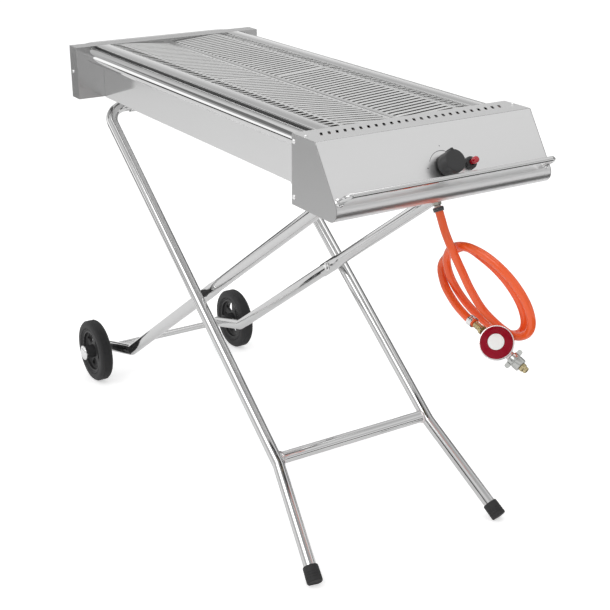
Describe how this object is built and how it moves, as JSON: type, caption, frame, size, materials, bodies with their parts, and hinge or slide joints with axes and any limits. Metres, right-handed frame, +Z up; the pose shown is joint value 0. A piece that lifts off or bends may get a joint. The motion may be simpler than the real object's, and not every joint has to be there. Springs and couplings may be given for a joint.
{
  "type": "folding gas chargrill",
  "caption": "Portable stainless gas chargrill: a trough with lift-out grids and a sloping control box on a folding scissor stand with wheels, with hose and regulator.",
  "frame": {"origin": "on the ground, below the centre of the bounding box without the hose and regulator", "axes": "+X towards the control box, +Y across the trough to the far side, +Z up"},
  "size_m": [1.3615, 0.4768, 0.856],
  "materials": {
    "brushed_stainless": "brushed",
    "polished_stainless": "polished",
    "bright_fastener": "polished",
    "brass": "machined",
    "cast_zinc": "satin",
    "black_plastic": "satin",
    "black_rubber": "matte",
    "tyre_rubber": "matte",
    "red_plastic": "gloss",
    "dark_red_paint": "semi-gloss",
    "orange_hose": "satin",
    "white_label": "matte",
    "ceramic": "glazed"
  },
  "bodies": {
    "grill_body": {"trough": "brushed_stainless", "rear_end_plate": "brushed_stainless", "front_wall": "brushed_stainless", "control_cover": "brushed_stainless", "side_cover_near": "brushed_stainless", "side_cover_far": "brushed_stainless", "rail_loop": "polished_stainless", "front_handle": "polished_stainless", "burner_near": "brushed_stainless", "burner_far": "brushed_stainless", "heat_plate_near": "brushed_stainless", "heat_plate_far": "brushed_stainless", "fat_tray": "brushed_stainless", "gas_manifold": "brass", "gas_valve": "brass", "igniter_body": "black_plastic", "igniter_electrode": "ceramic", "igniter_lead": "black_plastic", "hinge_saddle_near": "brushed_stainless", "hinge_saddle_far": "brushed_stainless", "front_catch_near": "brushed_stainless", "front_catch_far": "brushed_stainless", "hose_inlet": "brass", "hose_clamp_inlet": "bright_fastener", "gas_hose": "orange_hose", "hose_clamp_regulator": "bright_fastener", "regulator_tail": "brass", "regulator_body": "cast_zinc", "regulator_cap": "dark_red_paint", "regulator_disc": "white_label", "regulator_spigot": "brass"},
    "foot_leg_frame": {"foot_frame": "polished_stainless", "foot_crossbar": "polished_stainless", "foot_cap_near": "black_rubber", "foot_cap_far": "black_rubber", "scissor_bolt_near": "bright_fastener", "scissor_bolt_far": "bright_fastener"},
    "wheel_leg_frame": {"wheel_leg_near": "polished_stainless", "wheel_leg_far": "polished_stainless", "wheel_arm_near": "polished_stainless", "wheel_arm_far": "polished_stainless", "axle_tube": "bright_fastener", "axle": "bright_fastener", "hub_cap_near": "bright_fastener", "hub_cap_far": "bright_fastener", "catch_pin_near": "bright_fastener", "catch_pin_far": "bright_fastener"},
    "wheel_near": {"tyre_near": "tyre_rubber", "wheel_hub_near": "black_plastic"},
    "wheel_far": {"tyre_far": "tyre_rubber", "wheel_hub_far": "black_plastic"},
    "valve_stem": {"valve_spindle": "bright_fastener"},
    "knob": {"control_knob": "black_plastic"},
    "igniter_push_button": {"igniter_button": "red_plastic"},
    "coupling_nut": {"regulator_nut": "bright_fastener"},
    "grid_rear_near": {"cooking_grid_rear_near": "brushed_stainless"},
    "grid_rear_far": {"cooking_grid_rear_far": "brushed_stainless"},
    "grid_front_near": {"cooking_grid_front_near": "brushed_stainless"},
    "grid_front_far": {"cooking_grid_front_far": "brushed_stainless"}
  },
  "joints": [
    {"name": "leg_fold", "type": "hinge", "parent": "grill_body", "child": "foot_leg_frame", "pos_m": [-0.43, 0, 0.7185], "axis": [0, -1, 0], "range_deg": [0, 30]},
    {"name": "wheel_frame_fold", "type": "hinge", "parent": "foot_leg_frame", "child": "wheel_leg_frame", "pos_m": [-0.00432, 0, 0.40286], "axis": [0, 1, 0], "range_deg": [0, 58.5]},
    {"name": "wheel_spin_near", "type": "hinge", "parent": "wheel_leg_frame", "child": "wheel_near", "pos_m": [-0.5453, -0.2008, 0.077], "axis": [0, 1, 0], "continuous": true},
    {"name": "wheel_spin_far", "type": "hinge", "parent": "wheel_leg_frame", "child": "wheel_far", "pos_m": [-0.5453, 0.2008, 0.077], "axis": [0, 1, 0], "continuous": true},
    {"name": "knob_push", "type": "slide", "parent": "grill_body", "child": "valve_stem", "axis": [-0.8307, 0, -0.5567], "range_m": [0, 0.003], "stiffness_N_per_m": 400, "springref_m": -0.004},
    {"name": "knob_turn", "type": "hinge", "parent": "valve_stem", "child": "knob", "pos_m": [0.5747, 0.009, 0.79079], "axis": [0.8307, 0, 0.5567], "range_deg": [0, 210]},
    {"name": "igniter_press", "type": "slide", "parent": "grill_body", "child": "igniter_push_button", "axis": [-0.8307, 0, -0.5567], "range_m": [0, 0.004], "stiffness_N_per_m": 500, "springref_m": -0.003},
    {"name": "coupling_nut_spin", "type": "hinge", "parent": "grill_body", "child": "coupling_nut", "pos_m": [0.71548, 0.06898, 0.4654], "axis": [0.8036, 0.3076, -0.5095], "continuous": true},
    {"name": "grid_lift_rear_near", "type": "slide", "parent": "grill_body", "child": "grid_rear_near", "axis": [0, 0, 1], "range_m": [0, 0.12]},
    {"name": "grid_lift_rear_far", "type": "slide", "parent": "grill_body", "child": "grid_rear_far", "axis": [0, 0, 1], "range_m": [0, 0.12]},
    {"name": "grid_lift_front_near", "type": "slide", "parent": "grill_body", "child": "grid_front_near", "axis": [0, 0, 1], "range_m": [0, 0.12]},
    {"name": "grid_lift_front_far", "type": "slide", "parent": "grill_body", "child": "grid_front_far", "axis": [0, 0, 1], "range_m": [0, 0.12]}
  ],
  "couplings": [
    {"joint": "wheel_frame_fold", "follows": "leg_fold", "ratio": 1.95}
  ]
}
